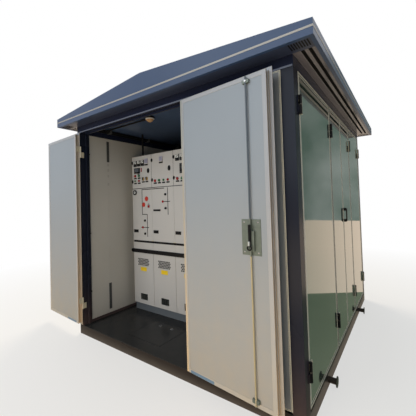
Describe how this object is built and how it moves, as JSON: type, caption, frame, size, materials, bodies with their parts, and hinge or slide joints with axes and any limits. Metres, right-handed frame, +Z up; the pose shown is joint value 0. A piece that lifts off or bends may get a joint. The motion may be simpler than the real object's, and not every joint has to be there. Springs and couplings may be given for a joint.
{
  "type": "compact substation",
  "caption": "Walk-in compact substation kiosk on a channel base, with open front doors, side doors, a low gable roof and a ring main unit inside.",
  "frame": {"origin": "centre of the base frame's underside, on the level that it stands on", "axes": "+Z up, the front doorway faces -Y, +X to the right seen from the front"},
  "size_m": [3.0066, 2.759, 2.28],
  "materials": {
    "navy_paint": "semi-gloss navy paint on sheet steel",
    "roof_blue_paint": "semi-gloss blue paint on sheet steel",
    "base_black_paint": "black paint on rolled steel",
    "light_trim": "satin light grey paint",
    "aluminium_edging": "satin anodised edging",
    "inner_panel_grey": "satin light grey coated sheet",
    "polished_green_panel": "high-gloss dark green coated sheet",
    "ceiling_navy": "glossy dark navy sheet",
    "soffit_grey": "satin grey sheet",
    "black_plastic": "matt black",
    "amber_globe": "amber tinted globe",
    "switchgear_white": "satin warm white powder coat",
    "plinth_blue_grey": "satin blue-grey powder coat",
    "zinc_plate": "bright zinc plate"
  },
  "bodies": {
    "housing": {"base_cross_front": "base_black_paint", "base_cross_middle": "base_black_paint", "base_cross_rear": "base_black_paint", "base_front": "base_black_paint", "base_left": "base_black_paint", "base_rear": "base_black_paint", "base_right": "base_black_paint", "cable_cover_1": "switchgear_white", "cable_cover_2": "switchgear_white", "cable_cover_3": "switchgear_white", "cable_cover_4": "switchgear_white", "ceiling": "ceiling_navy", "conduit": "black_plastic", "eaves_band": "roof_blue_paint", "eaves_trim": "light_trim", "floor_hatch": "base_black_paint", "floor_plate": "base_black_paint", "front_fixed_panel": "inner_panel_grey", "front_lintel": "navy_paint", "lamp_base": "black_plastic", "lamp_globe": "amber_globe", "left_lintel": "navy_paint", "lv_door_1": "switchgear_white", "lv_door_2": "switchgear_white", "lv_door_3": "switchgear_white", "lv_door_4": "switchgear_white", "middle_post": "navy_paint", "post_front_left": "navy_paint", "post_front_right": "navy_paint", "post_rear_left": "navy_paint", "post_rear_right": "navy_paint", "rear_lintel": "navy_paint", "right_lintel": "navy_paint", "roof_cover": "roof_blue_paint", "side_mullion_front": "navy_paint", "side_mullion_rear": "navy_paint", "soffit_front": "soffit_grey", "soffit_left": "soffit_grey", "soffit_rear": "soffit_grey", "soffit_right": "soffit_grey", "switchgear_body": "switchgear_white", "switchgear_plinth": "plinth_blue_grey", "wall_left": "polished_green_panel", "wall_rear": "polished_green_panel"},
    "left_leaf": {"left_leaf_frame": "aluminium_edging", "left_leaf_panel": "inner_panel_grey"},
    "right_leaf": {"right_leaf_frame": "aluminium_edging", "right_leaf_panel": "inner_panel_grey", "lock_gear": "zinc_plate", "lock_lever": "black_plastic"},
    "side_door_a": {"side_door_a": "polished_green_panel"},
    "side_door_b": {"side_door_b": "polished_green_panel"},
    "side_door_c": {"side_door_c": "polished_green_panel", "side_door_pull": "black_plastic"},
    "side_door_d": {"side_door_d": "polished_green_panel"}
  },
  "joints": [
    {"name": "left_leaf_hinge", "type": "hinge", "parent": "housing", "child": "left_leaf", "pos_m": [-1.0625, -1.235, 0], "axis": [0, 0, 1], "range_deg": [0, 182.8]},
    {"name": "right_leaf_hinge", "type": "hinge", "parent": "housing", "child": "right_leaf", "pos_m": [0.3245, -1.235, 0], "axis": [0, 0, 1], "range_deg": [-175.1, 0]},
    {"name": "side_door_a_hinge", "type": "hinge", "parent": "housing", "child": "side_door_a", "pos_m": [1.1345, -1.1525, 0], "axis": [0, 0, -1], "range_deg": [0, 120]},
    {"name": "side_door_b_hinge", "type": "hinge", "parent": "housing", "child": "side_door_b", "pos_m": [1.1345, -0.356, 0], "axis": [0, 0, -1], "range_deg": [0, 120]},
    {"name": "side_door_c_hinge", "type": "hinge", "parent": "housing", "child": "side_door_c", "pos_m": [1.1345, 0.506, 0], "axis": [0, 0, 1], "range_deg": [0, 120]},
    {"name": "side_door_d_hinge", "type": "hinge", "parent": "housing", "child": "side_door_d", "pos_m": [1.1345, 1.1525, 0], "axis": [0, 0, 1], "range_deg": [0, 120]}
  ]
}
